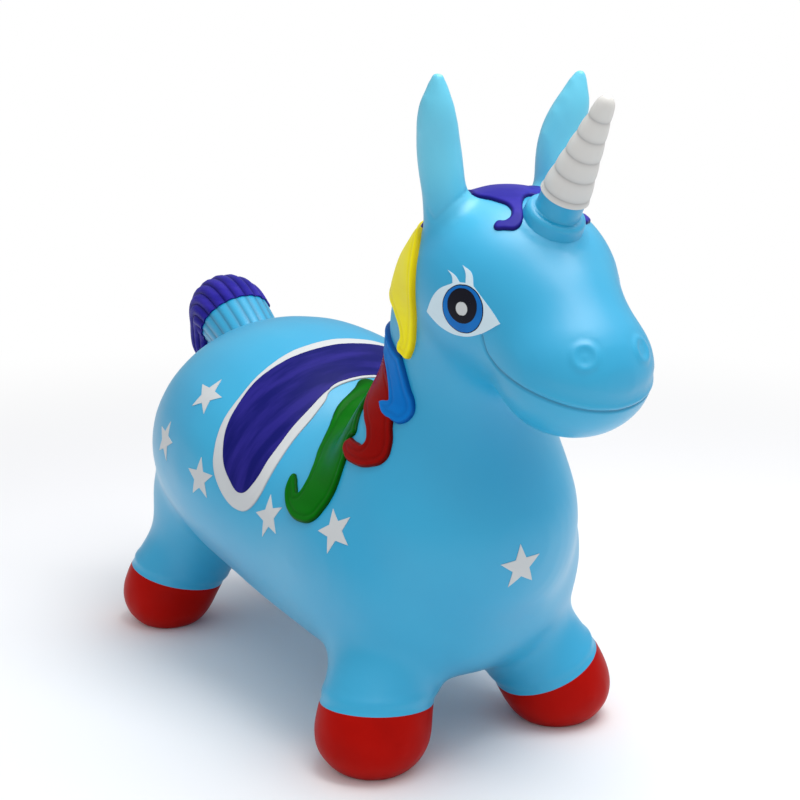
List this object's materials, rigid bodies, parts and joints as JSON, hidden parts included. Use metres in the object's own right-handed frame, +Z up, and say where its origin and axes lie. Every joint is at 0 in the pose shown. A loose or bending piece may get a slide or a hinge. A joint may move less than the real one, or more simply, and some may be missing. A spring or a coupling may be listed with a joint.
{
  "type": "animal hopper",
  "caption": "Inflatable unicorn hopper: hollow soft-vinyl animal a child sits on and bounces, with raised mane, saddle cloth, ringed horn, fluted tail and a plugged air valve.",
  "frame": {"origin": "on the floor, under the middle of the whole hopper's box", "axes": "+X forward along the animal, +Y to the animal's left, +Z up"},
  "size_m": [0.6532, 0.2788, 0.5414],
  "materials": {
    "sky_blue_vinyl": "satin, blown soft vinyl",
    "hoof_red_vinyl": "satin, sprayed",
    "horn_white_vinyl": "satin",
    "purple_paint": "satin, sprayed",
    "yellow_paint": "satin, sprayed",
    "blue_paint": "satin, sprayed",
    "red_paint": "gloss, sprayed",
    "green_paint": "gloss, sprayed",
    "white_paint": "satin, sprayed",
    "iris_paint": "satin, printed",
    "pupil_paint": "satin, printed",
    "plug_plastic": "satin"
  },
  "bodies": {
    "hopper": {"body_skin": "sky_blue_vinyl", "horn": "horn_white_vinyl", "tail_tuft": "purple_paint", "mane_forelock": "purple_paint", "mane_lock_yellow": "yellow_paint", "mane_lock_blue": "blue_paint", "mane_lock_red": "red_paint", "mane_lock_green": "green_paint", "saddle_cloth": "purple_paint", "saddle_border": "white_paint", "hoof_front_left": "hoof_red_vinyl", "hoof_front_right": "hoof_red_vinyl", "hoof_rear_left": "hoof_red_vinyl", "hoof_rear_right": "hoof_red_vinyl", "star_1_left": "white_paint", "star_1_right": "white_paint", "star_2_left": "white_paint", "star_2_right": "white_paint", "star_3_left": "white_paint", "star_3_right": "white_paint", "star_4_left": "white_paint", "star_4_right": "white_paint", "star_5_left": "white_paint", "star_5_right": "white_paint", "star_chest": "white_paint", "eye_white_left": "white_paint", "eye_white_right": "white_paint", "eye_glint_left": "white_paint", "eye_glint_right": "white_paint", "eye_iris_left": "iris_paint", "eye_iris_right": "iris_paint", "eye_pupil_left": "pupil_paint", "eye_pupil_right": "pupil_paint"},
    "plug": {"valve_plug": "plug_plastic"}
  },
  "joints": [
    {"name": "plug_pull", "type": "slide", "parent": "hopper", "child": "plug", "axis": [0, 0, -1], "range_m": [0, 0.024]}
  ]
}
